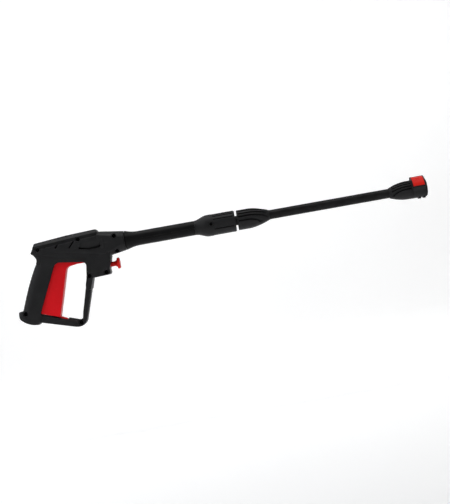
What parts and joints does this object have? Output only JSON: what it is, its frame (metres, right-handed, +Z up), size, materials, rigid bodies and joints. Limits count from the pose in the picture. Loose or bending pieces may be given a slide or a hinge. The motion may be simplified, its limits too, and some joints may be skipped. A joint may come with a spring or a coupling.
{
  "type": "pressure washer spray gun with lance",
  "caption": "Trigger spray gun of a pressure washer with a closed hand guard, a bayonet barrel and a long lance ending in a turning nozzle head.",
  "frame": {"origin": "centre of the hose inlet's mouth, in the foot of the grip", "axes": "+X along the lance towards the nozzle, +Y to the gun's left, +Z up from the trigger to the receiver"},
  "size_m": [0.7393, 0.0402, 0.163],
  "materials": {
    "black_plastic": "fine moulded grain, satin charcoal black",
    "black_sleeve": "smooth satin black",
    "trigger_red": "satin red, moulded",
    "safety_red": "satin red, moulded",
    "pad_red": "soft orange red, moulded",
    "screw_steel": "black oxide, dull",
    "bright_steel": "drawn or ground stainless steel",
    "brass": "turned brass",
    "grey_plastic": "glass filled nylon, dark grey",
    "acetal": "natural acetal",
    "rubber": "nitrile rubber, matt"
  },
  "bodies": {
    "gun": {"shell_right": "black_plastic", "shell_left": "black_plastic", "body_screws": "screw_steel", "trigger_pivot_pin": "bright_steel", "safety_detent": "screw_steel", "inlet_connector": "grey_plastic", "inlet_o_ring": "rubber", "inlet_tube": "bright_steel", "valve_body": "brass", "valve_seat": "bright_steel", "valve_spring": "screw_steel", "valve_plug": "bright_steel", "pin_gland": "brass", "pin_seal": "rubber", "outlet_tube": "bright_steel", "barrel_sleeve": "black_sleeve", "bayonet_collar": "black_plastic", "collar_screw": "screw_steel", "bayonet_socket": "brass"},
    "trigger": {"trigger": "trigger_red"},
    "valve_stem": {"push_pin": "bright_steel", "valve_ball": "bright_steel", "ball_cup": "acetal"},
    "safety": {"safety_pin": "safety_red"},
    "lance": {"lance_plug": "black_plastic", "plug_o_ring": "rubber", "lance_sleeve": "black_sleeve", "lance_pipe": "bright_steel", "lance_rear_grip": "black_plastic", "lance_front_grip": "black_plastic", "nozzle_head": "black_plastic", "nozzle_tip": "brass", "tip_o_ring": "rubber", "thumb_pad_spring": "screw_steel"},
    "thumb_button": {"thumb_pad": "pad_red"},
    "spray_ring": {"nozzle_ring": "black_sleeve", "spray_plate": "bright_steel"}
  },
  "joints": [
    {"name": "trigger_pull", "type": "hinge", "parent": "gun", "child": "trigger", "pos_m": [0.1, 0, 0.101], "axis": [0, 1, 0], "range_deg": [0, 7], "stiffness_Nm_per_rad": 6, "springref_deg": -5.16},
    {"name": "valve_lift", "type": "slide", "parent": "gun", "child": "valve_stem", "axis": [0, 0, 1], "range_m": [0, 0.0025], "deforming": ["valve_spring"]},
    {"name": "safety_slide", "type": "slide", "parent": "gun", "child": "safety", "axis": [1, 0, 0], "range_m": [-0.008, 0]},
    {"name": "lance_twist", "type": "hinge", "parent": "gun", "child": "lance", "pos_m": [0.356, 0, 0.1138], "axis": [1, 0, 0], "range_deg": [-45, 0]},
    {"name": "thumb_pad_press", "type": "slide", "parent": "lance", "child": "thumb_button", "axis": [0, 0.6691, -0.7431], "range_m": [0, 0.0015], "stiffness_N_per_m": 2000, "springref_m": -0.0015, "deforming": ["thumb_pad_spring"]},
    {"name": "spray_ring_turn", "type": "hinge", "parent": "lance", "child": "spray_ring", "pos_m": [0.7175, 0, 0.1138], "axis": [1, 0, 0], "range_deg": [0, 90]}
  ],
  "couplings": [
    {"joint": "valve_lift", "follows": "trigger_pull", "m_per_rad": 0.02}
  ]
}
